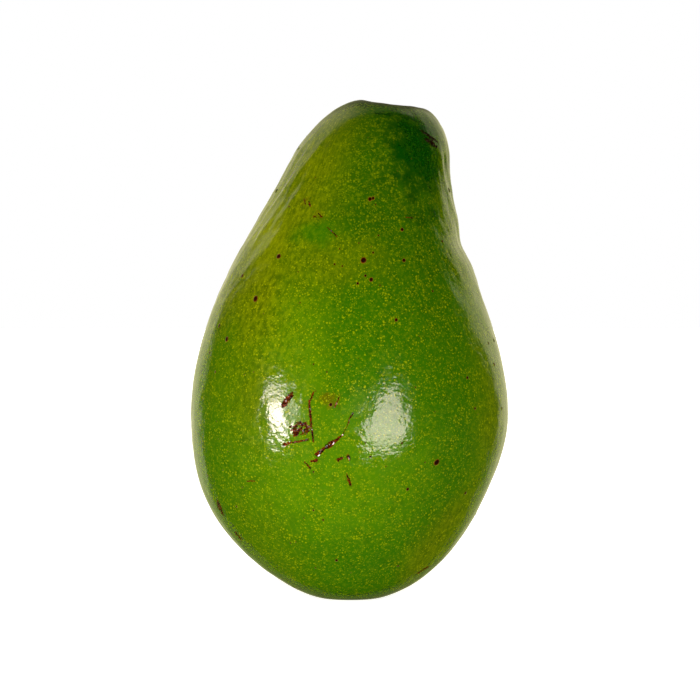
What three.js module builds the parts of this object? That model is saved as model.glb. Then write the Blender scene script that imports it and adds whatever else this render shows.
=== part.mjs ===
// A whole pear-shaped avocado, standing on the small flat spot at its blossom end.
// Millimetres, +Z up. The origin is under the middle of the belly, on the surface that the fruit stands on.
// The fruit grew as one piece, so it is one solid: a lathe of its half outline, whose rings are then moved
// sideways along the bent axis, flattened front to back, and given the uneven swellings of a grown thing.
import * as THREE from "three";

// Driving dimensions
const LENGTH = 130; // blossom end to the highest point of the crown
const WIDTH = 82.4; // widest, left to right
const DEPTH = 79.6; // widest, front to back
const BELLY_HEIGHT = 0.37 * LENGTH; // height of the widest ring
const RESTING_SPOT_RADIUS = 7.5;

// Outline: points hold a half-width and a height
const point = (radius, height) => new THREE.Vector2(radius, height);
const BLOSSOM_ROUNDNESS = 1.9; // exponent of the superellipse under the belly; 2 is a true ellipse
const BELLY = point(WIDTH / 2, BELLY_HEIGHT);
const BELLY_PULL = point(WIDTH / 2, 0.555 * LENGTH); // the curve leaves the belly towards this
const NECK_PULL = point(0.3 * WIDTH, 0.75 * LENGTH); // and comes into the neck from this
const NECK = point(0.253 * WIDTH, 0.877 * LENGTH); // where the flank meets the crown
const CROWN_PULL = point(0.236 * WIDTH, 0.923 * LENGTH);
const RIM_PULL = point(0.146 * WIDTH, 0.988 * LENGTH);
const CROWN_RIM = point(0.095 * WIDTH, 0.988 * LENGTH); // the highest ring, around the stem basin
const SCAR_RADIUS = 3.9; // round scar that the stem left
const SCAR_HEIGHT = 0.966 * LENGTH;
const SCAR_STEP = 0.5; // how far the scar lies below the basin around it
const SCAR_EDGE = point(SCAR_RADIUS, SCAR_HEIGHT + SCAR_STEP);

// Axis and unevenness
const NECK_SHIFT = 5.3; // sideways place of the axis at NECK
const SCAR_SHIFT = 11.2; // and at the stem scar
const SHIFT_START = 0.56 * LENGTH; // the axis is upright below this
const SHIFT_POWER = 2; // how late the flank bends over
const CROWN_SHIFT_POWER = 3.1; // how early the crown bends over
const SCAR_BACKSET = 1.2; // the scar lies this far behind the axis
const BLOSSOM_FULLNESS = 1.5; // how far the round of the blossom end swells to the left
const CROWN_TILT = 0.085; // slope of the crown, down to the right
const SHOULDER_RISE = 0.8; // the left shoulder stands this much above the basin's rim
const SWELLING = 0.3; // height of the long, low swellings around the fruit
const SWELLINGS = [
  // how many stand around the fruit, their share of the height, turns from end to end, start; radians
  { count: 2, share: 1, turn: 5, start: 0 },
  { count: 3, share: 0.7, turn: -4, start: 1 },
];

// Steps of the mesh
const SEGMENTS = 64;
const BLOSSOM_RINGS = 13;
const FLANK_RINGS = 17;
const CROWN_RINGS = 9;
const BASIN_RINGS = 5;

// From the edge of the resting spot round to the belly. The steps are even in angle, so the rings crowd
// together where the outline turns fastest.
function blossomEnd() {
  const cut = RESTING_SPOT_RADIUS / BELLY.x;
  const cutHeight = (1 - cut ** BLOSSOM_ROUNDNESS) ** (1 / BLOSSOM_ROUNDNESS);
  const semiHeight = BELLY_HEIGHT / cutHeight;
  const outline = [];
  for (let ring = 0; ring <= BLOSSOM_RINGS; ring++) {
    const start = Math.asin(cut);
    const angle = start + ((Math.PI / 2 - start) * ring) / BLOSSOM_RINGS;
    const share = Math.sin(angle);
    const drop = (1 - share ** BLOSSOM_ROUNDNESS) ** (1 / BLOSSOM_ROUNDNESS);
    outline.push(point(BELLY.x * share, BELLY_HEIGHT - semiHeight * drop));
  }
  return outline;
}

// From the belly up the flank to the neck, over the crown's rim, and down into the stem basin.
const flank = new THREE.CubicBezierCurve(BELLY, BELLY_PULL, NECK_PULL, NECK);
const crown = new THREE.CubicBezierCurve(NECK, CROWN_PULL, RIM_PULL, CROWN_RIM);
const basin = new THREE.CubicBezierCurve(
  CROWN_RIM,
  point(0.075 * WIDTH, CROWN_RIM.y),
  point(0.065 * WIDTH, SCAR_EDGE.y),
  SCAR_EDGE,
);

function halfOutline() {
  return [
    point(0, 0),
    point(RESTING_SPOT_RADIUS / 2, 0),
    ...blossomEnd(),
    ...flank.getSpacedPoints(FLANK_RINGS).slice(1),
    ...crown.getSpacedPoints(CROWN_RINGS).slice(1),
    ...basin.getSpacedPoints(BASIN_RINGS).slice(1),
    point(0.88 * SCAR_RADIUS, SCAR_HEIGHT),
    point(0.45 * SCAR_RADIUS, SCAR_HEIGHT),
    point(0, SCAR_HEIGHT),
  ];
}

// How far a ring lies from the upright line through the belly. Above the neck it follows the radius,
// because the outline turns down again inside the crown.
function axisShift(radius, height) {
  if (height > NECK.y) {
    const share = 1 - (radius / NECK.x) ** CROWN_SHIFT_POWER;
    return NECK_SHIFT + (SCAR_SHIFT - NECK_SHIFT) * share;
  }
  const rise = Math.max(0, height - SHIFT_START) / (NECK.y - SHIFT_START);
  const low = Math.min(1, height / BELLY_HEIGHT);
  return NECK_SHIFT * rise ** SHIFT_POWER - BLOSSOM_FULLNESS * Math.sin(Math.PI * low) ** 2;
}

// Long, low swellings that fade out at the resting spot and at the stem.
function swelling(angle, height) {
  const up = height / LENGTH;
  const fade = Math.sin(Math.PI * THREE.MathUtils.clamp(up, 0, 1));
  let sum = 0;
  for (const { count, share, turn, start } of SWELLINGS) {
    sum += share * Math.sin(count * angle + turn * up + start);
  }
  return SWELLING * fade * sum;
}

// The stem end leans: the left shoulder is its highest point and the right side its lowest.
function crownRise(x, radius, height, angle) {
  const share = THREE.MathUtils.smoothstep(height, NECK.y, SCAR_HEIGHT);
  const leftward = Math.max(0, -Math.cos(angle)) ** 2;
  const onRim = Math.min(1, radius / CROWN_RIM.x) ** 2;
  return share * (SHOULDER_RISE * leftward * onRim - CROWN_TILT * (x - SCAR_SHIFT));
}

function avocadoGeometry() {
  const geometry = new THREE.LatheGeometry(halfOutline(), SEGMENTS);
  geometry.rotateX(Math.PI / 2);
  const place = geometry.getAttribute("position");
  for (let i = 0; i < place.count; i++) {
    const radius = Math.hypot(place.getX(i), place.getY(i));
    const angle = Math.atan2(place.getY(i), place.getX(i));
    const height = place.getZ(i);
    const grown = radius + (radius > RESTING_SPOT_RADIUS ? swelling(angle, height) : 0);
    const share = Math.max(0, height - NECK.y) / (SCAR_HEIGHT - NECK.y);
    const x = grown * Math.cos(angle) + axisShift(radius, height);
    const y = grown * Math.sin(angle) * (DEPTH / WIDTH) + SCAR_BACKSET * share;
    place.setXYZ(i, x, y, height + crownRise(x, radius, height, angle));
  }
  return geometry;
}

const skin = new THREE.MeshStandardMaterial({ color: 0x4b7800, roughness: 0.35, metalness: 0 });

const avocado = new THREE.Mesh(avocadoGeometry(), skin);
avocado.name = "avocado";

const fruit = new THREE.Group();
fruit.add(avocado);

export default fruit;
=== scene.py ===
import math

import bmesh
import bpy
from bpy.props import FloatProperty, FloatVectorProperty, IntProperty, PointerProperty
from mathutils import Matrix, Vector
from random import Random


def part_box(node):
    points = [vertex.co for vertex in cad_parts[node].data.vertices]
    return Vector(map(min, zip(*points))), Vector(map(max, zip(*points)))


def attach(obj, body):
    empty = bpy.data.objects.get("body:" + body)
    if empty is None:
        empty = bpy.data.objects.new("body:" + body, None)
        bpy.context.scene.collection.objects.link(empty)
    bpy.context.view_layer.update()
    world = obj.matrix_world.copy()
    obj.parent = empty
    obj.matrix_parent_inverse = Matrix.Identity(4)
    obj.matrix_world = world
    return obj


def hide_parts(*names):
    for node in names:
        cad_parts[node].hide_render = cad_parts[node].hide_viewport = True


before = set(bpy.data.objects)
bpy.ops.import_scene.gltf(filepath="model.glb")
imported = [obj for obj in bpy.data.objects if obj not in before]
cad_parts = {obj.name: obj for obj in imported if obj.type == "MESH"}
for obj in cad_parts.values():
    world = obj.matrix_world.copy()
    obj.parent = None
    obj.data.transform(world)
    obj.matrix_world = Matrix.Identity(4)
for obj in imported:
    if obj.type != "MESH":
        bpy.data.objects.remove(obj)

from types import SimpleNamespace

bl_info = {
    "name": "Green Avocado",
    "version": (1, 0, 0),
    "blender": (4, 5, 0),
    "location": "3D View > Sidebar > Avocado",
    "description": "Skin, stem scar and blemishes of a whole green avocado, in a plain studio",
    "category": "Object",
}

MM = 0.001

bpy.context.view_layer.update()
LOWEST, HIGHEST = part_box("avocado")
HEIGHT = HIGHEST.z - LOWEST.z

# The eye that looks at the fruit and the point it looks at, in millimetres in the part's frame.
EYE = (0.0, -1011.0, 82.0)
AIM = (0.0, 0.0, 64.7)
BELLY_HEIGHT = 48.0  # the part of the belly that the lamps shine on, in millimetres above the foot
GIRTH = 28.0  # a middling radius of the fruit, in millimetres, for patterns that run along its flanks
SCAR_PLACE = (11.2, 1.2, 126.5)  # the middle of the stem scar
SCAR_RADIUS = 3.9

# A shallow hollow under the neck on the right, where the flank starts to swell.
HOLLOW_MIDDLE = (29.5, -4.0, 92.5)
HOLLOW_RADII = (9.0, 18.0, 7.0)

# Round specks of cork: across, up and radius in millimetres, as the eye sees them on the front.
SPECKS = (
    (3.5, 88, 0.7), (13.5, 96, 0.45), (14, 88, 0.45), (5.5, 83, 0.5), (4, 84, 0.3), (2, 82, 0.32),
    (5.2, 103.9, 0.5), (6, 104.1, 0.42), (12, 72.5, 0.4), (-18.5, 89, 0.6), (-24.5, 78, 0.72),
    (-32, 67.5, 0.6), (-34, 71, 0.5), (-28, 84, 0.45), (22.5, 35.5, 0.72), (15, 28.5, 0.36),
    (30, 27.5, 0.4), (30.5, 57.5, 0.38), (32.5, 49.5, 0.36), (39.5, 49.5, 0.4), (37.5, 61, 0.42),
    (36, 66.5, 0.34), (-3.5, 10, 0.36), (-7, 20.5, 0.24), (-9.5, 23, 0.22), (-9, 8, 0.22),
    (-15.5, 14.5, 0.2), (12.5, 8.5, 0.3), (-37, 32, 0.3), (-29.5, 24, 0.28), (6, 90, 0.28),
    (21.5, 80, 0.28), (24, 93, 0.3), (-5, 50.5, 0.4), (-15.8, 102, 0.24), (-4, 87, 0.24),
    (-2, 86.5, 0.22), (-2.7, 91, 0.18), (2.3, 92.5, 0.18), (7.4, 94.5, 0.22), (7.8, 81.5, 0.18),
    (-13.5, 85, 0.16), (-13, 77, 0.18), (-26, 87, 0.2), (6.6, 102.5, 0.18), (-9, 109.5, 0.16),
    (-15, 111.5, 0.18), (-6, 59, 0.18), (-9.5, 61, 0.18), (13.5, 40.5, 0.22), (5.3, 37, 0.24),
    (19.5, 35.5, 0.18), (17, 55, 0.18), (-25, 59, 0.16), (-9.5, 33, 0.2), (-28, 29, 0.18),
    (-33, 33.5, 0.16), (-20.5, 7.5, 0.18), (-12, 21, 0.16), (-35, 59, 0.3), (-36.5, 64, 0.34),
)

# Scabs and scratches: the points of each line, across, up and half-width in millimetres.
SCRATCHES = (
    ((-9.5, 53.6, 0.2), (-10.6, 51, 0.24), (-10.4, 48.5, 0.28), (-10.1, 45.5, 0.24), (-9.6, 41, 0.18)),
    ((-15.2, 53.2, 0.45), (-15.9, 52.3, 0.6), (-16.7, 51.2, 0.6), (-17.4, 50, 0.4)),
    ((-2.2, 42.4, 0.18), (-3.6, 41.3, 0.34), (-5.2, 40.1, 0.6), (-6.6, 39.1, 0.3), (-8.8, 37.5, 0.5)),
    ((-17.4, 40, 0.4), (-16, 40.5, 0.25), (-13, 40.9, 0.2), (-11, 41.4, 0.25)),
    ((-11.8, 35.6, 0.15), (-10.4, 34, 0.2)),
    ((-10.2, 35.7, 0.2), (-8.6, 36, 0.4)),
    ((-3.3, 36, 0.4), (-2, 36.7, 0.2)),
    ((-0.7, 37.2, 0.3), (-0.2, 36.4, 0.4)),
    ((-0.9, 32.4, 0.12), (-0.4, 31, 0.3), (0.2, 29.4, 0.2)),
    ((-2.8, 52.4, 0.1), (-4, 49.8, 0.16)),
    ((0.8, 48.4, 0.12), (0, 47.1, 0.2), (-0.7, 45, 0.04), (-2, 42.6, 0.06)),
    ((-26.8, 30.6, 0.16), (-24.8, 30.6, 0.16)),
    ((-34.5, 25.5, 0.2), (-34, 24, 0.4), (-33, 21.8, 0.2)),
    ((-5.9, 96.6, 0.1), (-3.4, 94.2, 0.12)),
    ((18.3, 121.8, 0.15), (20.4, 120.4, 0.3), (22.6, 118.7, 0.2)),
    ((19.6, 119.6, 0.3), (21, 118.6, 0.5), (22.4, 117.4, 0.2)),
    ((17.6, 6.6, 0.2), (20.5, 8.4, 0.2)),
    ((14.6, 99.2, 0.1), (16.2, 99, 0.12)),
    ((-11.9, 104, 0.12), (-11.6, 102.6, 0.16)),
    ((-10.7, 103.2, 0.16), (-10.4, 102.1, 0.2)),
    ((-9.4, 99.4, 0.24), (-8.9, 99.3, 0.14)),
    ((-8.2, 100.2, 0.1), (-7.4, 99.3, 0.18)),
    ((-29.8, 17.3, 0.14), (-29, 16.2, 0.24), (-28.2, 15.2, 0.12)),
)
# A rubbed place, scored with short dashes: its middle and half-size, across and up, in millimetres.
RUBBED_MIDDLE = (-13.2, 44.2)
RUBBED_HALF_SIZE = (2.6, 1.8)
RUBBED_DASHES = 56

# Patches of colour in the skin, and pools of painted light: middle and radii in millimetres, strength, and
# the colour's name.
SHADE_PATCHES = (
    ((17.5, -14.0, 116.0), (11.5, 18.0, 16.5), 1.0, "shaded"),
    ((-8.5, -27.0, 94.8), (8.0, 12.0, 3.8), 0.8, "belly"),
    ((25.0, 18.0, 104.0), (12.0, 16.0, 14.0), 0.7, "shaded"),
    ((-16.0, 22.0, 88.0), (14.0, 14.0, 9.0), 0.6, "shaded"),
)
# Painted light: lighter green pools low on the front and below the left lamp's highlight, where the lamps
# light the belly most.
PAINTED_LIGHT_PATCHES = (
    ((-2.0, -40.0, 34.0), (33.0, 26.0, 22.0), 0.75, "bright"),
    ((-14.0, -36.0, 64.0), (12.0, 20.0, 24.0), 0.6, "bright"),
)
SMEARS = (
    ((-5.3, -41.0, 53.0), (3.4, 6.0, 2.6), 0.34, "cork_light"),
    ((-11.2, -24.0, 103.0), (1.8, 6.0, 1.8), 0.3, "cork_light"),
    ((-8.4, -26.0, 99.6), (2.0, 6.0, 1.2), 0.3, "cork_light"),
)
PALE_PATCHES = (((-22.0, -12.0, 97.0), (7.0, 20.0, 15.0), 0.38, "pore"),)
# An olive sash across the front, under the neck: middle and radii in millimetres, and strength.
SASH_MIDDLE, SASH_RADII, SASH_STRENGTH = (-6.0, -28.0, 88.0), (20.0, 16.0, 9.0), 0.6

# Cork: the least and most length, width and thickness of a flake and a speck, as shares of its size.
FLAKE_LEAST, FLAKE_MOST = (0.6, 0.4, 0.2), (1.6, 0.9, 0.4)
SPECK_LEAST, SPECK_MOST = (1.2, 1.2, 0.2), (1.7, 1.5, 0.32)
FLAKE_LEAN = (0.4, 0.3, 0.5)  # how far a flake leans and turns, in radians
WAXED_STRETCH = (0.5, 0.5, -0.8)  # a waxed flake is so much wider and thinner
WAXED_LIFT = 0.07  # and stands so much higher, in millimetres

# The lamps' cloths, as the belly sees them: outlines in degrees, to the right of straight ahead and up.
LEFT_CLOTH = (
    (-60, 12), (-60, 6), (-57, -2), (-54, -8), (-47, -10), (-43, -8),
    (-44, -2), (-48, 4), (-50, 7), (-51, 11), (-55, 14),
)
LEFT_STRIP = ((-43, 12), (-40, 7), (-40, 0), (-42, 0), (-42, 6), (-45, 11))
LEFT_MIDDLE = ((-57, 2), (-56, -4), (-53, -8), (-49, -9), (-46, -6), (-47, 0), (-50, 5), (-54, 7))
RIGHT_CLOTH = (
    (22, 11), (33, 11), (36, 2), (41, -8), (41, -17), (38, -21),
    (17, -21), (11, -15), (9, -8), (12, -3), (17, 5),
)


# ---------------------------------------------------------------- building node trees

def put(tree, kind, inputs=(), **settings):
    """One new node. Each entry of inputs maps a socket to a value or to another node's output."""
    node = tree.nodes.new(kind)
    for name, value in settings.items():
        setattr(node, name, value)
    for socket, value in dict(inputs).items():
        if isinstance(value, bpy.types.NodeSocket):
            tree.links.new(value, node.inputs[socket])
        else:
            node.inputs[socket].default_value = value
    return node


def tree_of(*values):
    """The node tree of the first value that is a node's output."""
    return next(value.id_data for value in values if isinstance(value, bpy.types.NodeSocket))


def maths(operation, first, second=0.0, clamp=False):
    """The output of a Math node."""
    return put(tree_of(first, second), "ShaderNodeMath", {0: first, 1: second},
               operation=operation, use_clamp=clamp).outputs[0]


def times(first, second):
    """first × second."""
    return maths("MULTIPLY", first, second)


def plus(first, second):
    """first + second."""
    return maths("ADD", first, second)


def minus(first, second, clamp=False):
    """first - second."""
    return maths("SUBTRACT", first, second, clamp)


def vector_maths(operation, first, second=(0.0, 0.0, 0.0)):
    """The output of a Vector Math node whose result is a vector."""
    return put(tree_of(first, second), "ShaderNodeVectorMath", {0: first, 1: second},
               operation=operation).outputs[0]


def scaled(vector, amount):
    """The vector times a number."""
    return put(tree_of(vector, amount), "ShaderNodeVectorMath", {0: vector, "Scale": amount},
               operation="SCALE").outputs[0]


def length_of(vector):
    """The vector's length."""
    return put(vector.id_data, "ShaderNodeVectorMath", {0: vector}, operation="LENGTH").outputs["Value"]


def part_of(vector, axis):
    """One part of a vector: 0 is across, 1 is towards the back, 2 is up."""
    return put(vector.id_data, "ShaderNodeSeparateXYZ", {0: vector}).outputs[axis]


def ease(value, start, end, low=0.0, high=1.0):
    """value, from start to end, eased to run from low to high."""
    return put(value.id_data, "ShaderNodeMapRange", {0: value, 1: start, 2: end, 3: low, 4: high},
               interpolation_type="SMOOTHSTEP").outputs[0]


def tint(amount, first, second):
    """first turned towards the colour second by amount."""
    return put(amount.id_data, "ShaderNodeMix", {0: amount, 6: first, 7: second},
               data_type="RGBA").outputs[2]


def noise(place, size, detail=2.0, roughness=0.5):
    """Even noise from 0 to 1 whose lumps are about size across."""
    fine = maths("DIVIDE", 1.0, size) if isinstance(size, bpy.types.NodeSocket) else 1.0 / size
    return put(place.id_data, "ShaderNodeTexNoise",
               {"Vector": place, "Scale": fine, "Detail": detail, "Roughness": roughness}).outputs[0]


def new_tree(name, kind, inputs, outputs):
    """A node tree with its named sockets. Returns the tree, its inputs and its outputs."""
    tree = bpy.data.node_groups.new(name, kind)
    for socket, (socket_kind, value) in inputs.items():
        item = tree.interface.new_socket(socket, in_out="INPUT", socket_type="NodeSocket" + socket_kind)
        if value is not None:
            item.default_value = value
    for socket, socket_kind in outputs.items():
        tree.interface.new_socket(socket, in_out="OUTPUT", socket_type="NodeSocket" + socket_kind)
    given, result = tree.nodes.new("NodeGroupInput"), tree.nodes.new("NodeGroupOutput")
    return tree, given.outputs, result.inputs


def colour(value):
    """A property's colour as a node wants it."""
    return (*value, 1.0)


# ---------------------------------------------------------------- shader node groups

def patch_group():
    """How far a place lies inside a soft, ragged patch: 1 in its middle, 0 outside."""
    tree, given, result = new_tree("Patch", "ShaderNodeTree", {
        "Place": ("Vector", None),
        "Middle": ("Vector", (0.0, 0.0, 0.0)),
        "Radii": ("Vector", (10.0, 10.0, 10.0)),
        "Raggedness": ("Float", 0.4),
        "Grain": ("Float", 4.0),
    }, {"Inside": "Float"})
    from_middle = vector_maths("SUBTRACT", given["Place"], given["Middle"])
    distance = length_of(vector_maths("DIVIDE", from_middle, given["Radii"]))
    grain = noise(given["Place"], given["Grain"], 4.0)
    shift = times(minus(grain, 0.5), given["Raggedness"])
    ragged = plus(distance, times(shift, 4.0))
    tree.links.new(ease(ragged, 0.35, 1.15, 1.0, 0.0), result["Inside"])
    return tree


def dots_group():
    """Breathing pores of the skin: small round dots in loose clusters."""
    tree, given, result = new_tree("Pores", "ShaderNodeTree", {
        "Place": ("Vector", None),
        "Spacing": ("Float", 1.0),
        "Radius": ("Float", 0.25),
        "Cluster Size": ("Float", 6.0),
    }, {"Dot": "Float", "Height": "Float"})
    wobble = put(tree, "ShaderNodeTexNoise",
                 {"Vector": given["Place"], "Scale": 1.7, "Detail": 1.0}).outputs["Color"]
    bent = vector_maths("ADD", given["Place"], scaled(wobble, 0.5))
    density = maths("DIVIDE", 1.0, given["Spacing"])
    cells = put(tree, "ShaderNodeTexVoronoi",
                {"Vector": bent, "Scale": density, "Randomness": 1.0}, feature="F1")
    distance = times(cells.outputs["Distance"], given["Spacing"])
    cluster = noise(given["Place"], given["Cluster Size"])
    crowd = ease(cluster, 0.3, 0.7, 0.55, 1.25)
    lot = put(tree, "ShaderNodeSeparateColor", {0: cells.outputs["Color"]}).outputs[0]
    own_size = ease(lot, 0.0, 1.0, 0.5, 1.3)
    reach = times(times(given["Radius"], crowd), own_size)
    share = maths("DIVIDE", distance, reach)
    tree.links.new(ease(share, 0.55, 1.25, 1.0, 0.0), result["Dot"])
    tree.links.new(ease(share, 0.0, 1.4, 1.0, 0.0), result["Height"])
    return tree


def cork_group():
    """Cork that closes a wound: dark brown to tan, in fine scales."""
    tree, given, result = new_tree("Cork", "ShaderNodeTree", {
        "Place": ("Vector", None),
        "Dark": ("Color", (0.02, 0.005, 0.002, 1.0)),
        "Light": ("Color", (0.2, 0.08, 0.03, 1.0)),
        "Scale Size": ("Float", 0.6),
        "Lightness": ("Float", 0.5),
    }, {"Color": "Color", "Height": "Float"})
    grain = noise(given["Place"], given["Scale Size"], 5.0, 0.65)
    level = plus(grain, minus(given["Lightness"], 0.5))
    brown = tint(ease(level, 0.35, 0.75), given["Dark"], given["Light"])
    tree.links.new(brown, result["Color"])
    tree.links.new(grain, result["Height"])
    return tree


# ---------------------------------------------------------------- materials

def new_material(name, **values):
    """A material, its tree, its Principled shader and the place on the piece in millimetres."""
    material = bpy.data.materials.new(name)
    material.use_nodes = True
    tree = material.node_tree
    shader = tree.nodes["Principled BSDF"]
    for socket, value in values.items():
        shader.inputs[socket.replace("_", " ")].default_value = value
    corner = tree.nodes.new("ShaderNodeTexCoord").outputs["Object"]
    place = put(tree, "ShaderNodeMapping", {"Vector": corner, "Scale": (1 / MM,) * 3}).outputs[0]
    return material, tree, shader, place


def grouped(tree, group, **inputs):
    """A group's node in a material; an underscore in a name stands for a space."""
    inputs = {name.replace("_", " "): value for name, value in inputs.items()}
    return put(tree, "ShaderNodeGroup", inputs, node_tree=group)


def corky_brown(tree, place, look, groups, scale_size, lightness):
    """The cork group with the two browns, in scales of this size in millimetres."""
    return grouped(tree, groups["cork"], Place=place, Dark=colour(look.cork_dark),
                   Light=colour(look.cork_light), Scale_Size=scale_size, Lightness=lightness)


def stored(tree, name, output="Fac"):
    """A value or vector that the mesh keeps under a name."""
    return put(tree, "ShaderNodeAttribute", attribute_name=name).outputs[output]


def bump(shader, height):
    """Bumps whose height is in millimetres."""
    node = put(height.id_data, "ShaderNodeBump", {"Height": height, "Distance": MM, "Strength": 1.0})
    height.id_data.links.new(node.outputs[0], shader.inputs["Normal"])


def skin_places(tree, place):
    """Where each spot of the skin is, in millimetres, and which way it faces, with its colour's slow drift.

    rightward and backward run from -1 to 1.
    """
    aspect = stored(tree, "aspect", "Vector")
    return SimpleNamespace(
        place=place,
        up=part_of(place, 2),
        along=stored(tree, "along", "Vector"),
        rightward=part_of(aspect, 0),
        backward=part_of(aspect, 1),
        drift=noise(place, 14.0, 3.0),
    )


def olive_and_edge_sheen_share(tree, spot, groups):
    """How olive the skin is: the left side and a sash under the neck, which are the skin's own olive, and a
    painted sheen along the far right edge, wider low down.
    """
    far_left = times(ease(spot.rightward, -0.55, -0.85),
                     ease(spot.up, 82.0, 64.0, 0.0, 0.65))
    side = minus(ease(spot.rightward, -0.05, -0.6), far_left, clamp=True)
    sun = times(side, ease(spot.up, 30.0, 74.0, 0.25, 1.0))
    sash = grouped(tree, groups["patch"], Place=spot.place, Middle=SASH_MIDDLE, Radii=SASH_RADII,
                   Raggedness=0.25, Grain=8.0)
    sun = maths("MAXIMUM", sun, times(sash.outputs[0], SASH_STRENGTH))
    # Painted sheen: the far right edge, where the skin turns away from the front, is tinted olive in place
    # of the pale light it catches there. The band widens low down.
    low = ease(spot.up, 36.0, 8.0, 0.12, 0.5)
    painted_edge_sheen = ease(spot.rightward, minus(0.8, low), minus(1.02, low), 0.0, 0.7)
    sun = maths("MAXIMUM", sun, painted_edge_sheen)
    return times(sun, ease(spot.drift, 0.2, 0.8, 0.55, 1.1))


def add_patches(tree, group, spot, look, ground, patches, raggedness, grain):
    """The ground with patches of colour, and how strong each patch is at each place."""
    amounts = []
    for middle, radii, strength, shade in patches:
        patch = grouped(tree, group, Place=spot.place, Middle=middle, Radii=radii,
                        Raggedness=raggedness, Grain=grain)
        amounts.append(times(patch.outputs[0], strength))
        ground = tint(amounts[-1], ground, colour(getattr(look, shade)))
    return ground, amounts


def skin_greens(tree, spot, look, groups):
    """The uneven ground colour, with painted pools of light on the belly and a painted glow along the low
    flanks, and how open the skin is: pores and lace fade where it is deep green.
    """
    patch = groups["patch"]
    sun = olive_and_edge_sheen_share(tree, spot, groups)
    neck = times(ease(spot.up, 55.0, 120.0), ease(spot.drift, 0.25, 0.75, 0.65, 1.0))
    ground = tint(neck, colour(look.belly), colour(look.neck))
    # The olive of the left side and the sash, with the painted sheen along the far right edge.
    ground = tint(sun, ground, colour(look.sunny))
    ground, amounts = add_patches(tree, patch, spot, look, ground, SHADE_PATCHES, 0.5, 5.0)
    depth = 0.0
    for amount in amounts:
        depth = maths("MAXIMUM", depth, amount)
    open_skin = minus(1.0, times(depth, 0.88))
    # Painted light: the pools of lighter green low on the front and below the left highlight.
    ground, _ = add_patches(tree, patch, spot, look, ground, PAINTED_LIGHT_PATCHES, 0.15, 8.0)
    # Painted light: the low flanks, where they turn away from the front, are tinted lighter yellow-green in
    # place of light thrown up from the floor.
    flank = times(ease(spot.backward, -0.52, -0.12), ease(spot.up, 46.0, 22.0, 0.0, 0.65))
    ground = tint(flank, ground, colour(look.flank))

    mottle = noise(spot.place, 3.2, 3.0, 0.6)
    ground = tint(ease(mottle, 0.45, 0.8, 0.0, 0.3), ground, colour(look.shaded))
    lace = noise(spot.place, 0.9, 2.0, 0.6)
    lacy = times(ease(lace, 0.45, 0.75, 0.0, 0.28), open_skin)
    ground = tint(lacy, ground, colour(look.pore))
    streak = noise(vector_maths("MULTIPLY", spot.along, (1.0, 1.0, 0.5)), 0.8, 2.0, 0.6)
    streaky = times(ease(streak, 0.45, 0.7, 0.0, 0.4), sun)
    ground = tint(streaky, ground, colour(look.pore))
    veined = times(ease(streak, 0.52, 0.32, 0.0, 0.5), sun)
    ground = tint(veined, ground, colour(look.neck))

    ground, _ = add_patches(tree, patch, spot, look, ground, SMEARS, 0.5, 1.5)
    ground, _ = add_patches(tree, patch, spot, look, ground, PALE_PATCHES, 0.2, 5.0)
    return ground, open_skin


def skin_pores(tree, spot, look, groups, open_skin):
    """Pores of two sizes: how much of their colour shows, and the height of the larger ones."""
    large = grouped(tree, groups["dots"], Place=spot.place, Spacing=0.68, Radius=0.19, Cluster_Size=3.2)
    elsewhere = vector_maths("ADD", spot.place, (31.0, 7.0, 13.0))
    small = grouped(tree, groups["dots"], Place=elsewhere, Spacing=0.5, Radius=0.12, Cluster_Size=3.0)
    dot = maths("MAXIMUM", large.outputs["Dot"], times(small.outputs["Dot"], 0.8))
    clear = ease(spot.up, 74.0, 108.0, look.pore_strength, look.pore_strength * 0.5)
    clear = times(clear, open_skin)
    return times(dot, clear), large.outputs["Height"]


def scar_ring(spot):
    """How corky the skin is around the stem scar."""
    ring = length_of(vector_maths("SUBTRACT", spot.place, SCAR_PLACE))
    ring = plus(ring, times(noise(spot.place, 2.0, 4.0), 4.0))
    return ease(ring, 7.0, 13.0, 0.75, 0.0)


def skin_bumps(spot, look, pore_height):
    """Pebbling, grain and pores in millimetres, fading low down, round the sides and at the crown."""
    pebble = noise(vector_maths("MULTIPLY", spot.along, (1.0, 1.0, 0.8)), 1.5, 2.0, 0.6)
    grain = noise(spot.place, 0.35, 2.0)
    rough = times(ease(spot.up, 14.0, 38.0, 0.15, 1.0),
                  ease(spot.backward, -0.1, -0.6, 0.12, 1.0))
    rough = times(rough, ease(spot.up, 110.0, 122.0, 1.0, 0.4))
    relief = times(pebble, look.pebble_height)
    relief = plus(relief, times(grain, 0.002))
    relief = plus(relief, times(pore_height, 0.008))
    return times(relief, rough)


def skin_material(look, groups):
    """Waxy green skin: uneven greens with painted light on the belly and along its edges, pale pores, a
    brown ring round the stem scar.
    """
    material, tree, shader, place = new_material("avocado_skin", IOR=1.45)
    spot = skin_places(tree, place)
    ground, open_skin = skin_greens(tree, spot, look, groups)
    pored, pore_height = skin_pores(tree, spot, look, groups, open_skin)
    skin = tint(pored, ground, colour(look.pore))
    cork = corky_brown(tree, place, look, groups, 1.2, 0.55)
    corky = scar_ring(spot)
    skin = tint(corky, skin, cork.outputs["Color"])
    tree.links.new(skin, shader.inputs["Base Color"])
    bump(shader, skin_bumps(spot, look, pore_height))
    wax = ease(noise(place, 2.4, 3.0), 0.3, 0.7, look.gloss, look.gloss + 0.08)
    tree.links.new(plus(wax, times(corky, 0.5)), shader.inputs["Roughness"])
    return material


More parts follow.
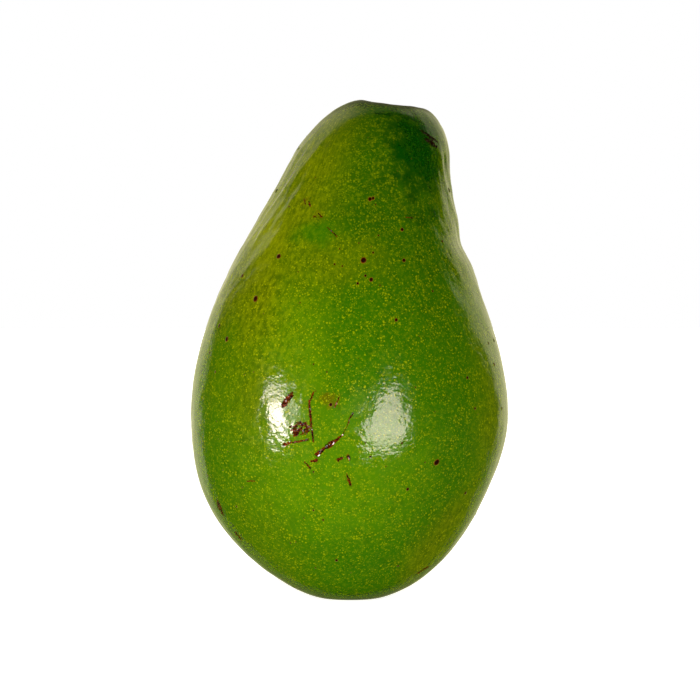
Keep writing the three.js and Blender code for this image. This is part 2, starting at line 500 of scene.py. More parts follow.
def cork_material(name, look, groups, scale_size):
    """Rough cork for scabs, flakes and the stem scar: each flake has a tone, and some are waxed over."""
    material, tree, shader, place = new_material(name, Specular_IOR_Level=0.02, Coat_Roughness=0.05)
    cork = corky_brown(tree, place, look, groups, scale_size, stored(tree, "tone"))
    height = cork.outputs["Height"]
    tree.links.new(cork.outputs["Color"], shader.inputs["Base Color"])
    tree.links.new(ease(height, 0.3, 0.7, 0.45, 0.7), shader.inputs["Roughness"])
    tree.links.new(stored(tree, "waxed"), shader.inputs["Coat Weight"])
    bump(shader, times(height, 0.06))
    return material


def speck_material(look, groups):
    """A round speck: nearly black cork in the middle, reddish, then a yellow rim in the skin."""
    material, tree, shader, place = new_material("speck_cork", Specular_IOR_Level=0.06)
    uneven = minus(noise(place, 0.3, 3.0), 0.5)
    rim = plus(stored(tree, "rim"), times(uneven, 0.35))
    cork = corky_brown(tree, place, look, groups, 0.4, 0.05)
    edge = tint(ease(rim, 0.72, 0.9), colour(look.cork_light), colour(look.sunny))
    face = tint(ease(rim, 0.55, 0.8), cork.outputs["Color"], edge)
    tree.links.new(face, shader.inputs["Base Color"])
    tree.links.new(ease(rim, 0.4, 0.9, 0.45, 0.3), shader.inputs["Roughness"])
    return material


# ---------------------------------------------------------------- Geometry Nodes

def run_tree(piece, tree, **values):
    """Puts the tree on the piece, sets its named inputs, and keeps the result as a plain mesh."""
    modifier = piece.modifiers.new(tree.name, "NODES")
    modifier.node_group = tree
    for item in tree.interface.items_tree:
        if item.in_out == "INPUT" and item.name.replace(" ", "_") in values:
            modifier[item.identifier] = values[item.name.replace(" ", "_")]
    depsgraph = bpy.context.evaluated_depsgraph_get()
    grown = bpy.data.meshes.new_from_object(piece.evaluated_get(depsgraph),
                                            preserve_all_data_layers=True, depsgraph=depsgraph)
    if not grown.polygons:
        raise RuntimeError(f"{tree.name} made no faces for {piece.name}")
    piece.modifiers.remove(modifier)
    piece.data = grown
    grown.name = piece.name
    return piece


def store(geometry, name, value, kind="FLOAT"):
    """The geometry with value kept on it as a named attribute."""
    return put(geometry.id_data, "GeometryNodeStoreNamedAttribute",
               {"Geometry": geometry, "Name": name, "Value": value},
               data_type=kind, domain="POINT").outputs[0]


def recall(tree, name, kind="FLOAT"):
    """A named attribute's value."""
    return put(tree, "GeometryNodeInputNamedAttribute", {"Name": name}, data_type=kind).outputs[0]


def position(tree):
    """Where each point is."""
    return put(tree, "GeometryNodeInputPosition").outputs[0]


def moved(geometry, **where):
    """The geometry with its points moved to a Position or by an Offset."""
    return put(geometry.id_data, "GeometryNodeSetPosition", {"Geometry": geometry, **where}).outputs[0]


def skin_of(tree, given):
    """The geometry of the Skin input."""
    return put(tree, "GeometryNodeObjectInfo", {"Object": given["Skin"]}).outputs["Geometry"]


def ball(tree, subdivisions):
    """A ball of radius 1: each flake, speck and the scar is a squashed one."""
    node = put(tree, "GeometryNodeMeshIcoSphere", {"Radius": 1.0, "Subdivisions": subdivisions})
    return node.outputs[0]


def lay_on_skin(tree, points, skin, eye):
    """The points moved along the eye's line of sight onto the skin, with its normal as "facing"."""
    cast = put(tree, "GeometryNodeRaycast",
               {"Target Geometry": skin, "Source Position": eye,
                "Ray Direction": vector_maths("SUBTRACT", position(tree), eye), "Ray Length": 2.0})
    points = store(points, "facing", cast.outputs["Hit Normal"], "FLOAT_VECTOR")
    points = store(points, "met", cast.outputs["Is Hit"], "BOOLEAN")
    points = moved(points, Position=cast.outputs["Hit Position"])
    missed = minus(1.0, recall(tree, "met", "BOOLEAN"))
    return put(tree, "GeometryNodeDeleteGeometry", {"Geometry": points, "Selection": missed},
               domain="POINT").outputs[0]


def random_float(tree, low, high, seed):
    """A number for each point, between low and high."""
    node = put(tree, "FunctionNodeRandomValue", {2: low, 3: high, "Seed": seed}, data_type="FLOAT")
    return node.outputs[1]


def random_vector(tree, low, high, seed):
    """A vector for each point, each part between low's and high's."""
    node = put(tree, "FunctionNodeRandomValue", {0: low, 1: high, "Seed": seed},
               data_type="FLOAT_VECTOR")
    return node.outputs[0]


def upright(tree):
    """A rotation that turns +Z to "facing"."""
    return put(tree, "FunctionNodeAlignRotationToVector",
               {"Vector": recall(tree, "facing", "FLOAT_VECTOR")}, axis="Z").outputs[0]


def turned(tree, rotation, most, seed):
    """The rotation, turned at random by up to most, in radians about each of its own axes."""
    turn = random_vector(tree, tuple(-part for part in most), most, seed)
    spin = put(tree, "FunctionNodeEulerToRotation", {0: turn}).outputs[0]
    return put(tree, "FunctionNodeRotateRotation", {"Rotation": rotation, "Rotate By": spin},
               rotation_space="LOCAL").outputs[0]


def new_geometry_tree(name, inputs):
    """A Geometry Nodes tree that takes the piece's geometry and material besides its own inputs."""
    inputs = {"Geometry": ("Geometry", None), **inputs, "Material": ("Material", None)}
    return new_tree(name, "GeometryNodeTree", inputs, {"Geometry": "Geometry"})


def finish_tree(tree, geometry, material, result, smooth=True):
    """Ends a tree: real faces, shading and the material."""
    geometry = put(tree, "GeometryNodeRealizeInstances", {"Geometry": geometry}).outputs[0]
    geometry = put(tree, "GeometryNodeSetShadeSmooth",
                   {"Geometry": geometry, "Shade Smooth": smooth}).outputs[0]
    last = put(tree, "GeometryNodeSetMaterial", {"Geometry": geometry, "Material": material})
    tree.links.new(last.outputs[0], result["Geometry"])
    return tree


def neck_ridges(tree, given, up, along):
    """Ridges drawn out along the fruit, leaning as they run to the back, strongest on the neck."""
    lean = put(tree, "ShaderNodeCombineXYZ", {1: times(up, 0.4 / MM)}).outputs[0]
    drawn_out = vector_maths("MULTIPLY", along, (1.0, 1.0, 0.35))
    drawn_out = vector_maths("ADD", lean, drawn_out)
    ridge = minus(noise(drawn_out, given["Ridge Spacing"]), 0.5)
    neck = ease(up, 0.45 * HEIGHT, 0.75 * HEIGHT, 0.15, 1.0)
    neck = times(neck, ease(up, 0.84 * HEIGHT, 0.95 * HEIGHT, 1.0, 0.1))
    return times(times(ridge, given["Ridge Height"]), neck)


def skin_tree():
    """Low relief for the skin: swellings all over, and ridges that run down the neck."""
    tree, given, result = new_geometry_tree("Skin relief", {
        "Subdivisions": ("Int", 2),
        "Swell Height": ("Float", 0.2),
        "Swell Size": ("Float", 6.0),
        "Ridge Height": ("Float", 0.2),
        "Ridge Spacing": ("Float", 3.0),
        "Hollow Depth": ("Float", 1.0),
        "Sink": ("Float", 0.1),
        "Hollow Middle": ("Vector", (0.0, 0.0, 0.0)),
        "Hollow Radii": ("Vector", (8.0, 14.0, 6.0)),
        "Seed": ("Float", 0.0),
    })
    fine = put(tree, "GeometryNodeSubdivisionSurface",
               {"Mesh": given["Geometry"], "Level": given["Subdivisions"]}).outputs[0]
    up = part_of(position(tree), 2)
    in_mm = vector_maths("MULTIPLY", position(tree), (1 / MM,) * 3)
    place = vector_maths("ADD", in_mm, given["Seed"])
    swell = minus(noise(place, given["Swell Size"], 2.0, 0.45), 0.5)
    swell = times(swell, given["Swell Height"])

    normal = put(tree, "GeometryNodeInputNormal").outputs[0]
    level = vector_maths("NORMALIZE", vector_maths("MULTIPLY", normal, (1.0, 1.0, 0.0)))
    around = vector_maths("MULTIPLY", level, (GIRTH, GIRTH, 0.0))
    upward = put(tree, "ShaderNodeCombineXYZ", {2: times(up, 1 / MM)}).outputs[0]
    along = vector_maths("ADD", around, upward)
    height = plus(swell, neck_ridges(tree, given, up, along))

    from_hollow = vector_maths("SUBTRACT", in_mm, given["Hollow Middle"])
    from_hollow = length_of(vector_maths("DIVIDE", from_hollow, given["Hollow Radii"]))
    hollow = times(ease(from_hollow, 1.0, 0.0), given["Hollow Depth"])
    height = minus(height, plus(hollow, given["Sink"]))
    foot = ease(up, 0.5 * MM, 6 * MM)
    height = times(times(height, foot), MM)
    fine = store(fine, "aspect", normal, "FLOAT_VECTOR")
    fine = store(fine, "along", along, "FLOAT_VECTOR")
    grown = moved(fine, Offset=scaled(normal, height))
    return finish_tree(tree, grown, given["Material"], result)


def speck_tree():
    """Domed specks of cork: the points of the mesh are laid on the front, more lie all round."""
    tree, given, result = new_geometry_tree("Cork specks", {
        "Skin": ("Object", None),
        "Eye": ("Vector", (0.0, 0.0, 0.0)),
        "Far Density": ("Float", 2500.0),
        "Dust Density": ("Float", 6000.0),
        "Seed": ("Int", 3),
    })
    skin = skin_of(tree, given)
    seed = given["Seed"]
    laid = put(tree, "GeometryNodeMeshToPoints", {"Mesh": given["Geometry"]}).outputs[0]
    laid = lay_on_skin(tree, laid, skin, given["Eye"])

    backward = part_of(put(tree, "GeometryNodeInputNormal").outputs[0], 1)
    far_side = maths("GREATER_THAN", backward, -0.3)
    groups = [laid]
    for density, selection, low, high in (
        (given["Far Density"], far_side, 0.25, 0.6),
        (given["Dust Density"], True, 0.06, 0.16),
    ):
        scattered = put(tree, "GeometryNodeDistributePointsOnFaces",
                        {"Mesh": skin, "Selection": selection, "Density": density, "Seed": seed})
        points = store(scattered.outputs["Points"], "facing", scattered.outputs["Normal"], "FLOAT_VECTOR")
        groups.append(store(points, "reach", random_float(tree, low * MM, high * MM, seed)))
    together = put(tree, "GeometryNodeJoinGeometry")
    for points in groups:
        tree.links.new(points, together.inputs[0])

    flat = vector_maths("MULTIPLY", position(tree), (1.0, 1.0, 0.0))
    dome = store(ball(tree, 2), "rim", length_of(flat))
    oval = random_vector(tree, SPECK_LEAST, SPECK_MOST, seed)
    specks = put(tree, "GeometryNodeInstanceOnPoints",
                 {"Points": together.outputs[0], "Instance": dome,
                  "Rotation": turned(tree, upright(tree), (0.1, 0.1, math.pi), seed),
                  "Scale": scaled(oval, recall(tree, "reach"))}).outputs[0]
    return finish_tree(tree, specks, given["Material"], result)


def strewn_along(tree, given):
    """Points strewn along each line of the mesh, as far to its sides as the line's reach."""
    line = put(tree, "GeometryNodeMeshToCurve", {"Mesh": given["Geometry"]}).outputs[0]
    line = put(tree, "GeometryNodeResampleCurve",
               {"Curve": line, "Length": given["Flake Spacing"]}, mode="LENGTH").outputs[0]
    points = put(tree, "GeometryNodeCurveToPoints", {"Curve": line}, mode="EVALUATED")
    points = store(points.outputs["Points"], "along", points.outputs["Tangent"], "FLOAT_VECTOR")
    crowd = plus(times(recall(tree, "reach"), given["Crowding"]), 2.0)
    points = put(tree, "GeometryNodeDuplicateElements", {"Geometry": points, "Amount": crowd},
                 domain="POINT").outputs[0]
    astray = random_vector(tree, (-1.0, 0.0, -1.0), (1.0, 0.0, 1.0), given["Seed"])
    return moved(points, Offset=scaled(astray, recall(tree, "reach")))


def scab_tree():
    """Scabs and scratches: ragged flakes of cork strewn along each line and laid on the skin, with painted
    shade darkening those high on the neck.
    """
    tree, given, result = new_geometry_tree("Scab flakes", {
        "Skin": ("Object", None),
        "Eye": ("Vector", (0.0, 0.0, 0.0)),
        "Flake Spacing": ("Float", 0.0002),
        "Flake Size": ("Float", 0.0003),
        "Crowding": ("Float", 10000.0),
        "Dull Share": ("Float", 0.88),
        "Seed": ("Int", 5),
    })
    seed = given["Seed"]
    points = lay_on_skin(tree, strewn_along(tree, given), skin_of(tree, given), given["Eye"])

    # Painted shade: flakes high on the neck, which face away from the lamps, are made darker.
    painted_shade_up_high = ease(part_of(position(tree), 2), 0.8 * HEIGHT, 0.9 * HEIGHT, 0.0, 0.55)
    tone = minus(random_float(tree, 0.15, 0.78, seed), painted_shade_up_high)
    points = store(points, "tone", tone)
    lot = random_float(tree, 0.0, 1.0, plus(seed, 1.0))
    points = store(points, "waxed", maths("GREATER_THAN", lot, given["Dull Share"]))
    waxed = recall(tree, "waxed")
    lift = scaled(recall(tree, "facing", "FLOAT_VECTOR"), times(waxed, WAXED_LIFT * MM))
    points = moved(points, Offset=lift)

    size = plus(given["Flake Size"], times(recall(tree, "reach"), 0.25))
    scale = scaled(random_vector(tree, FLAKE_LEAST, FLAKE_MOST, seed), size)
    plate = vector_maths("ADD", (1.0, 1.0, 1.0), scaled(WAXED_STRETCH, waxed))
    aligned = put(tree, "FunctionNodeAlignRotationToVector",
                  {"Rotation": upright(tree), "Vector": recall(tree, "along", "FLOAT_VECTOR")},
                  axis="X", pivot_axis="Z").outputs[0]
    flakes = put(tree, "GeometryNodeInstanceOnPoints",
                 {"Points": points, "Instance": ball(tree, 1),
                  "Rotation": turned(tree, aligned, FLAKE_LEAN, seed),
                  "Scale": vector_maths("MULTIPLY", scale, plate)}).outputs[0]
    return finish_tree(tree, flakes, given["Material"], result, smooth=False)


def scar_tree():
    """The corky button left by the stem: a low, ragged dome that follows the bottom of the basin."""
    tree, given, result = new_geometry_tree("Stem scar", {
        "Skin": ("Object", None),
        "Middle": ("Vector", (0.0, 0.0, 0.0)),
        "Radius": ("Float", 0.0038),
        "Thickness": ("Float", 0.0006),
    })
    unit = position(tree)
    ragged = ease(noise(unit, 0.5, 3.0), 0.2, 0.8, 0.88, 1.06)
    flat = vector_maths("MULTIPLY", unit, (1.0, 1.0, 0.0))
    spread = scaled(flat, times(given["Radius"], ragged))
    cast = put(tree, "GeometryNodeRaycast",
               {"Target Geometry": skin_of(tree, given),
                "Source Position": vector_maths("ADD", given["Middle"], spread),
                "Ray Direction": (0.0, 0.0, -1.0), "Ray Length": 0.1})
    crumbs = ease(noise(unit, 0.22, 4.0), 0.3, 0.7, 0.55, 1.25)
    rise = times(times(part_of(unit, 2), crumbs), given["Thickness"])
    rise = put(tree, "ShaderNodeCombineXYZ", {2: rise}).outputs[0]
    lifted = vector_maths("ADD", cast.outputs["Hit Position"], rise)
    button = moved(ball(tree, 5), Position=lifted)
    button = store(button, "tone", ease(noise(unit, 0.4, 2.0), 0.3, 0.7, 0.45, 0.75))
    return finish_tree(tree, button, given["Material"], result)


# ---------------------------------------------------------------- pieces

def add_piece(name, mesh):
    """A new object in the scene; one that is already there is taken away first."""
    if name in bpy.data.objects:
        bpy.data.objects.remove(bpy.data.objects[name])
    piece = bpy.data.objects.new(name, mesh)
    bpy.context.scene.collection.objects.link(piece)
    return piece


def settle(piece):
    """Makes a finished piece part of the fruit."""
    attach(piece, "root")


def seen_from_front(across, up):
    """A point on the fruit's middle plane, from millimetres to metres."""
    return Vector((across, 0.0, up)) * MM


def welded_skin():
    """A copy of the solid as one closed mesh of quads."""
    grid = bmesh.new()
    grid.from_mesh(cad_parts["avocado"].data)
    bmesh.ops.remove_doubles(grid, verts=grid.verts, dist=0.001 * MM)
    bmesh.ops.join_triangles(grid, faces=grid.faces, angle_face_threshold=0.7,
                             angle_shape_threshold=0.7)
    mesh = bpy.data.meshes.new("avocado_skin")
    grid.to_mesh(mesh)
    grid.free()
    mesh.attributes.remove(mesh.attributes["custom_normal"])
    return mesh


def rubbed_dashes(seed):
    """Short parallel dashes strewn over the rubbed place."""
    lot = Random(seed)
    dashes = []
    for _ in range(RUBBED_DASHES):
        turn, out = lot.uniform(0, 2 * math.pi), math.sqrt(lot.random())
        across = RUBBED_MIDDLE[0] + RUBBED_HALF_SIZE[0] * out * math.cos(turn)
        up = RUBBED_MIDDLE[1] + RUBBED_HALF_SIZE[1] * out * math.sin(turn)
        run, rise = lot.uniform(0.2, 0.9), lot.uniform(0.1, 0.5)
        width = lot.uniform(0.08, 0.24)
        start = (across - run / 2, up - rise / 2, width)
        end = (across + run / 2, up + rise / 2, width)
        dashes.append((start, end))
    return dashes


def marks_mesh(name, lines):
    """Points or lines of points on the middle plane, each point with its own reach."""
    mesh = bpy.data.meshes.new(name)
    points, edges, reaches = [], [], []
    for line in lines:
        for number, (across, up, reach) in enumerate(line):
            if number:
                edges.append((len(points) - 1, len(points)))
            points.append(seen_from_front(across, up))
            reaches.append(reach * MM)
    mesh.from_pydata(points, edges, [])
    mesh.attributes.new("reach", "FLOAT", "POINT").data.foreach_set("value", reaches)
    return mesh


# ---------------------------------------------------------------- settings

class AVOCADO_PG_look(bpy.types.PropertyGroup):
    """Colours and finish of the skin and of the cork."""

    belly: FloatVectorProperty(
        name="Belly", description="Green of the belly", subtype="COLOR", size=3, min=0, max=1,
        default=(0.029, 0.123, 0.0002))
    # The bright patch colour is painted light, laid in the pools of light low on the front.
    bright: FloatVectorProperty(
        name="Bright patch", description="Lightest green, low on the front", subtype="COLOR", size=3,
        min=0, max=1, default=(0.066, 0.187, 0.0003))
    neck: FloatVectorProperty(
        name="Neck", description="Green of the neck", subtype="COLOR", size=3, min=0, max=1,
        default=(0.018, 0.065, 0.0002))
    # The sunny-side olive is also the colour of the painted sheen along the far right edge.
    sunny: FloatVectorProperty(
        name="Sunny side", description="Olive of the side that saw the sun", subtype="COLOR", size=3,
        min=0, max=1, default=(0.09, 0.135, 0.0002))
    # The low-flank colour is painted light, a yellow-green glow along the low flanks' edges.
    flank: FloatVectorProperty(
        name="Low flanks", description="Yellow-green low on the flanks", subtype="COLOR", size=3,
        min=0, max=1, default=(0.105, 0.215, 0.0003))
    shaded: FloatVectorProperty(
        name="Shaded patches", description="Deep green of the patches", subtype="COLOR", size=3,
        min=0, max=1, default=(0.0012, 0.036, 0.0002))
    pore: FloatVectorProperty(
        name="Pores", description="Yellow-green of the pores", subtype="COLOR", size=3, min=0, max=1,
        default=(0.24, 0.3, 0.0005))
    pore_strength: FloatProperty(
        name="Pore strength", description="How much the pores stand out", min=0, max=1, default=0.92)
    cork_dark: FloatVectorProperty(
        name="Dark cork", description="Nearly black cork", subtype="COLOR", size=3, min=0, max=1,
        default=(0.008, 0.0014, 0.0002))
    cork_light: FloatVectorProperty(
        name="Light cork", description="Red-brown cork", subtype="COLOR", size=3, min=0, max=1,
        default=(0.15, 0.022, 0.0005))
    gloss: FloatProperty(
        name="Roughness", description="Roughness of the waxy skin at its smoothest", min=0.05, max=1,
        default=0.1)
    pebble_height: FloatProperty(
        name="Pebbling", description="Height of the fine pebbling, in mm", min=0, max=0.3,
        default=0.14)


class AVOCADO_PG_relief(bpy.types.PropertyGroup):
    """The skin's modelled relief, in millimetres."""

    swell_height: FloatProperty(
        name="Swelling height", description="Height of the low swellings, in mm", min=0, max=2,
        default=0.35)
    swell_size: FloatProperty(
        name="Swelling size", description="Width of the low swellings, in mm", min=1, max=40,
        default=6.0)
    ridge_height: FloatProperty(
        name="Ridge height", description="Height of the ridges along the neck, in mm", min=0, max=2,
        default=0.9)
    hollow_depth: FloatProperty(
        name="Hollow depth", description="Depth of the hollow in the right flank, in mm", min=0,
        max=4, default=1.0)
    ridge_spacing: FloatProperty(
        name="Ridge spacing", description="Distance between the ridges, in mm", min=0.5, max=20,
        default=4.0)


class AVOCADO_PG_marks(bpy.types.PropertyGroup):
    """Specks, scabs and the stem scar."""

    far_density: FloatProperty(
        name="Far specks", description="Large specks on each square metre of the far side", min=0,
        max=50000, default=2200)
    dust_density: FloatProperty(
        name="Fine specks", description="Fine specks on each square metre", min=0, max=50000,
        default=6000)
    seed: IntProperty(
        name="Seed", description="Another number strews the specks and flakes differently", min=0,
        max=1000, default=3)
    flake_size: FloatProperty(
        name="Flake size", description="Half-width of the smallest flakes of cork",
        subtype="DISTANCE", unit="LENGTH", precision=5, min=0.00005, max=0.002, default=0.00012)
    flake_spacing: FloatProperty(
        name="Flake spacing", description="Distance between flakes along a scab", subtype="DISTANCE",
        unit="LENGTH", precision=5, min=0.0001, max=0.002, default=0.00016)
    crowding: FloatProperty(
        name="Crowding", description="Flakes side by side for each metre of a scab's half-width",
        min=0, max=50000, default=12000)
    waxed_share: FloatProperty(
        name="Waxed share", description="Share of the flakes that are waxed over and shine",
        subtype="FACTOR", min=0, max=1, default=0.12)
    scar_thickness: FloatProperty(
        name="Scar thickness", description="How far the stem scar stands out of its basin",
        subtype="DISTANCE", unit="LENGTH", precision=5, min=0.0001, max=0.003, default=0.0007)


class AVOCADO_PG_stage(bpy.types.PropertyGroup):
    """Camera, lamps and floor."""

    lens: FloatProperty(
        name="Lens", description="Focal length of the camera", subtype="DISTANCE_CAMERA", min=20,
        max=300, default=200)
    floor_radius: FloatProperty(
        name="Floor radius", description="Radius of the round pale floor", subtype="DISTANCE",
        unit="LENGTH", min=0.5, max=20, default=6)
    floor_light: FloatProperty(
        name="Floor light", description="Strength of the light that falls on the floor alone", min=0,
        max=20, default=1.7)
    floor_glow: FloatProperty(
        name="Floor glow", description="How bright the floor itself looks", min=0, max=5,
        default=0.9)
    lamp_colour: FloatVectorProperty(
        name="Lamp colour", description="Warm white of the lamps", subtype="COLOR", size=3, min=0,
        max=1, default=(1.0, 0.82, 0.75))
    wall_colour: FloatVectorProperty(
        name="Wall colour", description="Warm white of the reflected wall", subtype="COLOR", size=3,
        min=0, max=1, default=(1.0, 0.95, 0.56))
    left_lamp: FloatProperty(
        name="Left lamp", description="Brightness of the left lamp's cloth", min=0, max=200,
        default=23)
    left_core: FloatProperty(
        name="Left lamp's core", description="Brightness of the left lamp's bright middle", min=0,
        max=500, default=50)
    right_lamp: FloatProperty(
        name="Right lamp", description="Brightness of the right lamp's cloth", min=0, max=200,
        default=13)
    front_fill: FloatProperty(
        name="Front fill", description="Power of the light beside the camera", unit="POWER", min=0,
        max=200, default=6)
    surround: FloatProperty(
        name="Surround", description="Brightness of the white wall behind the fruit", min=0, max=5,
        default=0.94)


# ---------------------------------------------------------------- operators

class AVOCADO_OT_skin(bpy.types.Operator):
    """Grow the skin over the solid, with its relief, its greens and its pores"""

    bl_idname = "avocado.skin"
    bl_label = "Skin"

    def execute(self, context):
        relief = context.scene.avocado_relief
        material = skin_material(context.scene.avocado_look, shared_groups())
        skin = add_piece("avocado_skin", welded_skin())
        run_tree(skin, skin_tree(), Subdivisions=2, Swell_Height=relief.swell_height,
                 Swell_Size=relief.swell_size, Ridge_Height=relief.ridge_height,
                 Ridge_Spacing=relief.ridge_spacing, Hollow_Depth=relief.hollow_depth,
                 Hollow_Middle=HOLLOW_MIDDLE, Hollow_Radii=HOLLOW_RADII, Seed=17.0,
                 Material=material)
        settle(skin)
        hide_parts("avocado")
        return {"FINISHED"}


class AVOCADO_OT_specks(bpy.types.Operator):
    """Strew round specks of cork over the skin"""

    bl_idname = "avocado.specks"
    bl_label = "Specks"

    def execute(self, context):
        marks = context.scene.avocado_marks
        material = speck_material(context.scene.avocado_look, shared_groups())
        points = marks_mesh("specks", [(speck,) for speck in SPECKS])
        specks = add_piece("specks", points)
        run_tree(specks, speck_tree(), Skin=bpy.data.objects["avocado_skin"],
                 Eye=Vector(EYE) * MM, Far_Density=marks.far_density,
                 Dust_Density=marks.dust_density, Seed=marks.seed, Material=material)
        settle(specks)
        return {"FINISHED"}


class AVOCADO_OT_scabs(bpy.types.Operator):
    """Lay scabs and scratches of flaky cork on the skin"""

    bl_idname = "avocado.scabs"
    bl_label = "Scabs and scratches"

    def execute(self, context):
        marks = context.scene.avocado_marks
        material = cork_material("scab_cork", context.scene.avocado_look, shared_groups(), 0.5)
        lines = [*SCRATCHES, *rubbed_dashes(marks.seed)]
        scabs = add_piece("scabs", marks_mesh("scabs", lines))
        run_tree(scabs, scab_tree(), Skin=bpy.data.objects["avocado_skin"], Eye=Vector(EYE) * MM,
                 Flake_Spacing=marks.flake_spacing, Flake_Size=marks.flake_size,
                 Crowding=marks.crowding, Dull_Share=1 - marks.waxed_share, Seed=marks.seed,
                 Material=material)
        settle(scabs)
        return {"FINISHED"}


class AVOCADO_OT_scar(bpy.types.Operator):
    """Put the corky stem scar at the bottom of its basin"""

    bl_idname = "avocado.scar"
    bl_label = "Stem scar"

    def execute(self, context):
        marks = context.scene.avocado_marks
        material = cork_material("scar_cork", context.scene.avocado_look, shared_groups(), 0.9)
        scar = add_piece("stem_scar", bpy.data.meshes.new("stem_scar"))
        middle = Vector((*SCAR_PLACE[:2], 0.0)) * MM + Vector((0.0, 0.0, HIGHEST.z + 5 * MM))
        run_tree(scar, scar_tree(), Skin=bpy.data.objects["avocado_skin"], Middle=middle,
                 Radius=SCAR_RADIUS * MM, Thickness=marks.scar_thickness, Material=material)
        settle(scar)
        return {"FINISHED"}


def lamp_cloth(name, outline, distance, brightness, light_colour):
    """A flat glowing cloth whose outline is given in degrees from the belly."""
    corners = []
    for turn, rise in outline:
        turn, rise = math.radians(turn), math.radians(rise)
        level = math.cos(rise)
        toward = Vector((math.sin(turn) * level, -math.cos(turn) * level, math.sin(rise)))
        corners.append(Vector((0.0, 0.0, BELLY_HEIGHT * MM)) + toward * distance)
    mesh = bpy.data.meshes.new(name)
    mesh.from_pydata(corners, [], [range(len(corners))])
    cloth = add_piece(name, mesh)
    material = bpy.data.materials.new(name)
    material.use_nodes = True
    tree = material.node_tree
    tree.nodes.clear()
    place = tree.nodes.new("ShaderNodeTexCoord").outputs["Object"]
    folds = noise(place, 0.04, 5.0, 0.65)
    strength = ease(folds, 0.3, 0.7, 0.55 * brightness, 1.4 * brightness)
    glow = put(tree, "ShaderNodeEmission", {"Color": colour(light_colour), "Strength": strength})
    output = tree.nodes.new("ShaderNodeOutputMaterial")
    tree.links.new(glow.outputs[0], output.inputs["Surface"])
    mesh.materials.append(material)
    cloth.visible_camera = False


def pale_floor(radius, glow):
    """A round floor, lit from below like a light table. Lamps and reflections pass it by."""
    disc = bmesh.new()
    bmesh.ops.create_circle(disc, cap_ends=True, segments=96, radius=radius)
    mesh = bpy.data.meshes.new("floor")
    disc.to_mesh(mesh)
    disc.free()
    floor = add_piece("floor", mesh)
    material = bpy.data.materials.new("floor")
    material.use_nodes = True
    tree = material.node_tree
    shader = tree.nodes["Principled BSDF"]
    shader.inputs["Base Color"].default_value = (0.86, 0.86, 0.86, 1.0)
    shader.inputs["Roughness"].default_value = 0.9
    shader.inputs["Specular IOR Level"].default_value = 0.0
    shader.inputs["Emission Color"].default_value = (1.0, 1.0, 1.0, 1.0)
    seen = put(tree, "ShaderNodeLightPath").outputs["Is Camera Ray"]
    tree.links.new(times(seen, glow), shader.inputs["Emission Strength"])
    mesh.materials.append(material)
    floor.visible_glossy = False
    floor.visible_shadow = False
    return floor


def floor_sun(floor, strength):
    """Soft light from the front and above that falls on the floor alone."""
    data = bpy.data.lights.new("floor_sun", "SUN")
    data.energy = strength
    data.angle = math.radians(25)
    sun = add_piece("floor_sun", data)
    sun.rotation_euler = (math.radians(40), 0.0, 0.0)
    lit = bpy.data.collections.new("lit_floor")
    lit.objects.link(floor)
    sun.light_linking.receiver_collection = lit


def front_fill(strength):
    """A broad light beside the camera that evens out the front and leaves no reflection."""
    data = bpy.data.lights.new("front_fill", "AREA")
    data.energy = strength
    data.size = 0.5
    fill = add_piece("front_fill", data)
    fill.location = (0.05, -1.2, 0.12)
    fill.rotation_euler = (math.radians(87), 0.0, 0.0)
    fill.visible_glossy = False
    fill.visible_camera = False


def wall_mask(across, depth, up):
    """Where the wall behind the fruit is white. Its soft edges reach further round to the sides up high."""
    right = ease(across, -0.2, 0.2)
    left = minus(1.0, right)
    high = ease(up, times(left, 0.24), plus(times(left, 0.18), 0.42))
    edge = minus(0.75, times(left, 0.03))
    edge = minus(edge, times(high, 0.4))
    behind = ease(depth, minus(edge, 0.06), plus(edge, 0.06))
    above_floor = ease(up, -0.42, 0.0, 0.12, 1.0)
    to_side = ease(maths("ABSOLUTE", across), 0.1, 0.4)
    overhead = times(ease(up, 0.05, 0.3, 0.0, 0.8), minus(1.0, to_side))
    return times(times(behind, above_floor), minus(1.0, overhead))


def white_surround(brightness, wall_colour):
    """White all round for the camera; for light and reflections, white behind the fruit only."""
    world = bpy.data.worlds.new("surround")
    bpy.context.scene.world = world
    world.use_nodes = True
    tree = world.node_tree
    tree.nodes.clear()
    toward = put(tree, "ShaderNodeTexCoord").outputs["Generated"]
    split = put(tree, "ShaderNodeSeparateXYZ", {0: toward})
    wall = times(wall_mask(*split.outputs[:3]), brightness)
    room = put(tree, "ShaderNodeBackground",
               {"Color": colour(wall_colour), "Strength": plus(wall, 0.005)})
    paper = put(tree, "ShaderNodeBackground", {"Color": (1.0, 1.0, 1.0, 1.0), "Strength": 1.0})
    seen = put(tree, "ShaderNodeLightPath").outputs["Is Camera Ray"]
    mixed = put(tree, "ShaderNodeMixShader", {0: seen, 1: room.outputs[0], 2: paper.outputs[0]})
    output = tree.nodes.new("ShaderNodeOutputWorld")
    tree.links.new(mixed.outputs[0], output.inputs["Surface"])


def front_camera(lens):
    """A long lens at the height of the fruit's shoulder."""
    data = bpy.data.cameras.new("camera")
    data.lens = lens
    camera = add_piece("camera", data)
    eye, aim = Vector(EYE) * MM, Vector(AIM) * MM
    camera.location = eye
    camera.rotation_euler = (aim - eye).to_track_quat("-Z", "Y").to_euler()
    bpy.context.scene.camera = camera


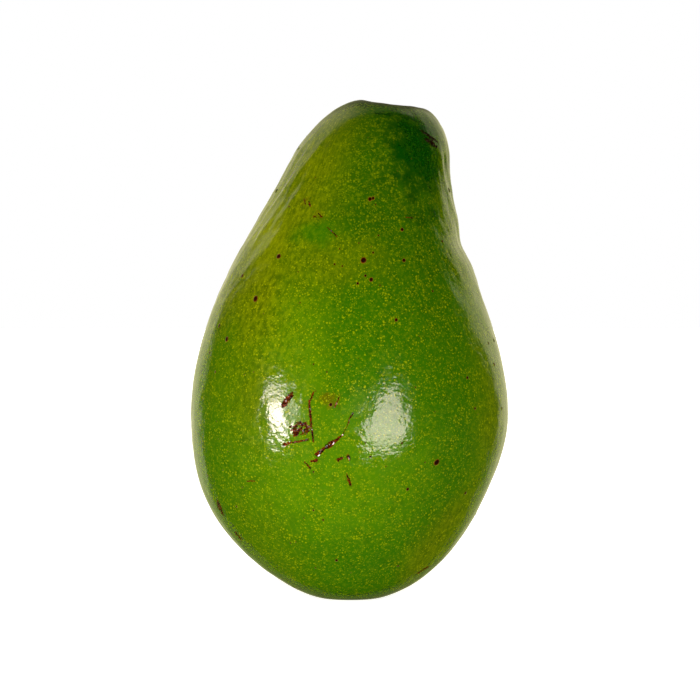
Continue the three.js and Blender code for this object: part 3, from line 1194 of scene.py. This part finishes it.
class AVOCADO_OT_stage(bpy.types.Operator):
    """Set up the pale floor, the lamps, the white surround and the camera"""

    bl_idname = "avocado.stage"
    bl_label = "Stage"

    def execute(self, context):
        stage = context.scene.avocado_stage
        floor_sun(pale_floor(stage.floor_radius, stage.floor_glow), stage.floor_light)
        lamp_cloth("left_cloth", LEFT_CLOTH, 0.9, stage.left_lamp, stage.lamp_colour)
        lamp_cloth("left_strip", LEFT_STRIP, 0.9, stage.left_lamp, stage.lamp_colour)
        lamp_cloth("left_middle", LEFT_MIDDLE, 0.8, stage.left_core, stage.lamp_colour)
        lamp_cloth("right_cloth", RIGHT_CLOTH, 0.9, stage.right_lamp, stage.lamp_colour)
        front_fill(stage.front_fill)
        white_surround(stage.surround, stage.wall_colour)
        front_camera(stage.lens)
        context.scene.view_settings.view_transform = "Standard"
        return {"FINISHED"}


def shared_groups():
    """The shader groups, built once."""
    makers = {
        "patch": ("Patch", patch_group),
        "dots": ("Pores", dots_group),
        "cork": ("Cork", cork_group),
    }
    return {key: bpy.data.node_groups.get(name) or make() for key, (name, make) in makers.items()}


class AVOCADO_PT_panel(bpy.types.Panel):
    """The avocado's settings and the buttons that make its pieces"""

    bl_label = "Avocado"
    bl_idname = "AVOCADO_PT_panel"
    bl_space_type = "VIEW_3D"
    bl_region_type = "UI"
    bl_category = "Avocado"

    def draw(self, context):
        scene = context.scene
        for settings, operators in (
            (scene.avocado_look, ()),
            (scene.avocado_relief, ("avocado.skin",)),
            (scene.avocado_marks, ("avocado.scar", "avocado.scabs", "avocado.specks")),
            (scene.avocado_stage, ("avocado.stage",)),
        ):
            box = self.layout.box()
            for name in settings.bl_rna.properties.keys():
                if name not in ("rna_type", "name"):
                    box.prop(settings, name)
            for operator in operators:
                box.operator(operator)


SETTINGS = {
    "avocado_look": AVOCADO_PG_look,
    "avocado_relief": AVOCADO_PG_relief,
    "avocado_marks": AVOCADO_PG_marks,
    "avocado_stage": AVOCADO_PG_stage,
}
OPERATORS = (AVOCADO_OT_skin, AVOCADO_OT_scar, AVOCADO_OT_scabs, AVOCADO_OT_specks, AVOCADO_OT_stage)


def register():
    """Registers the settings, the operators and the panel."""
    for name, group in SETTINGS.items():
        bpy.utils.register_class(group)
        setattr(bpy.types.Scene, name, PointerProperty(type=group))
    for operator in OPERATORS:
        bpy.utils.register_class(operator)
    bpy.utils.register_class(AVOCADO_PT_panel)


def unregister():
    """Takes them away again, in the opposite order."""
    bpy.utils.unregister_class(AVOCADO_PT_panel)
    for operator in reversed(OPERATORS):
        bpy.utils.unregister_class(operator)
    for name, group in reversed(SETTINGS.items()):
        delattr(bpy.types.Scene, name)
        bpy.utils.unregister_class(group)


def main():
    """Registers everything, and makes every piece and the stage."""
    register()
    bpy.ops.avocado.skin()
    bpy.ops.avocado.scar()
    bpy.ops.avocado.scabs()
    bpy.ops.avocado.specks()
    bpy.ops.avocado.stage()


if __name__ == "__main__":
    main()
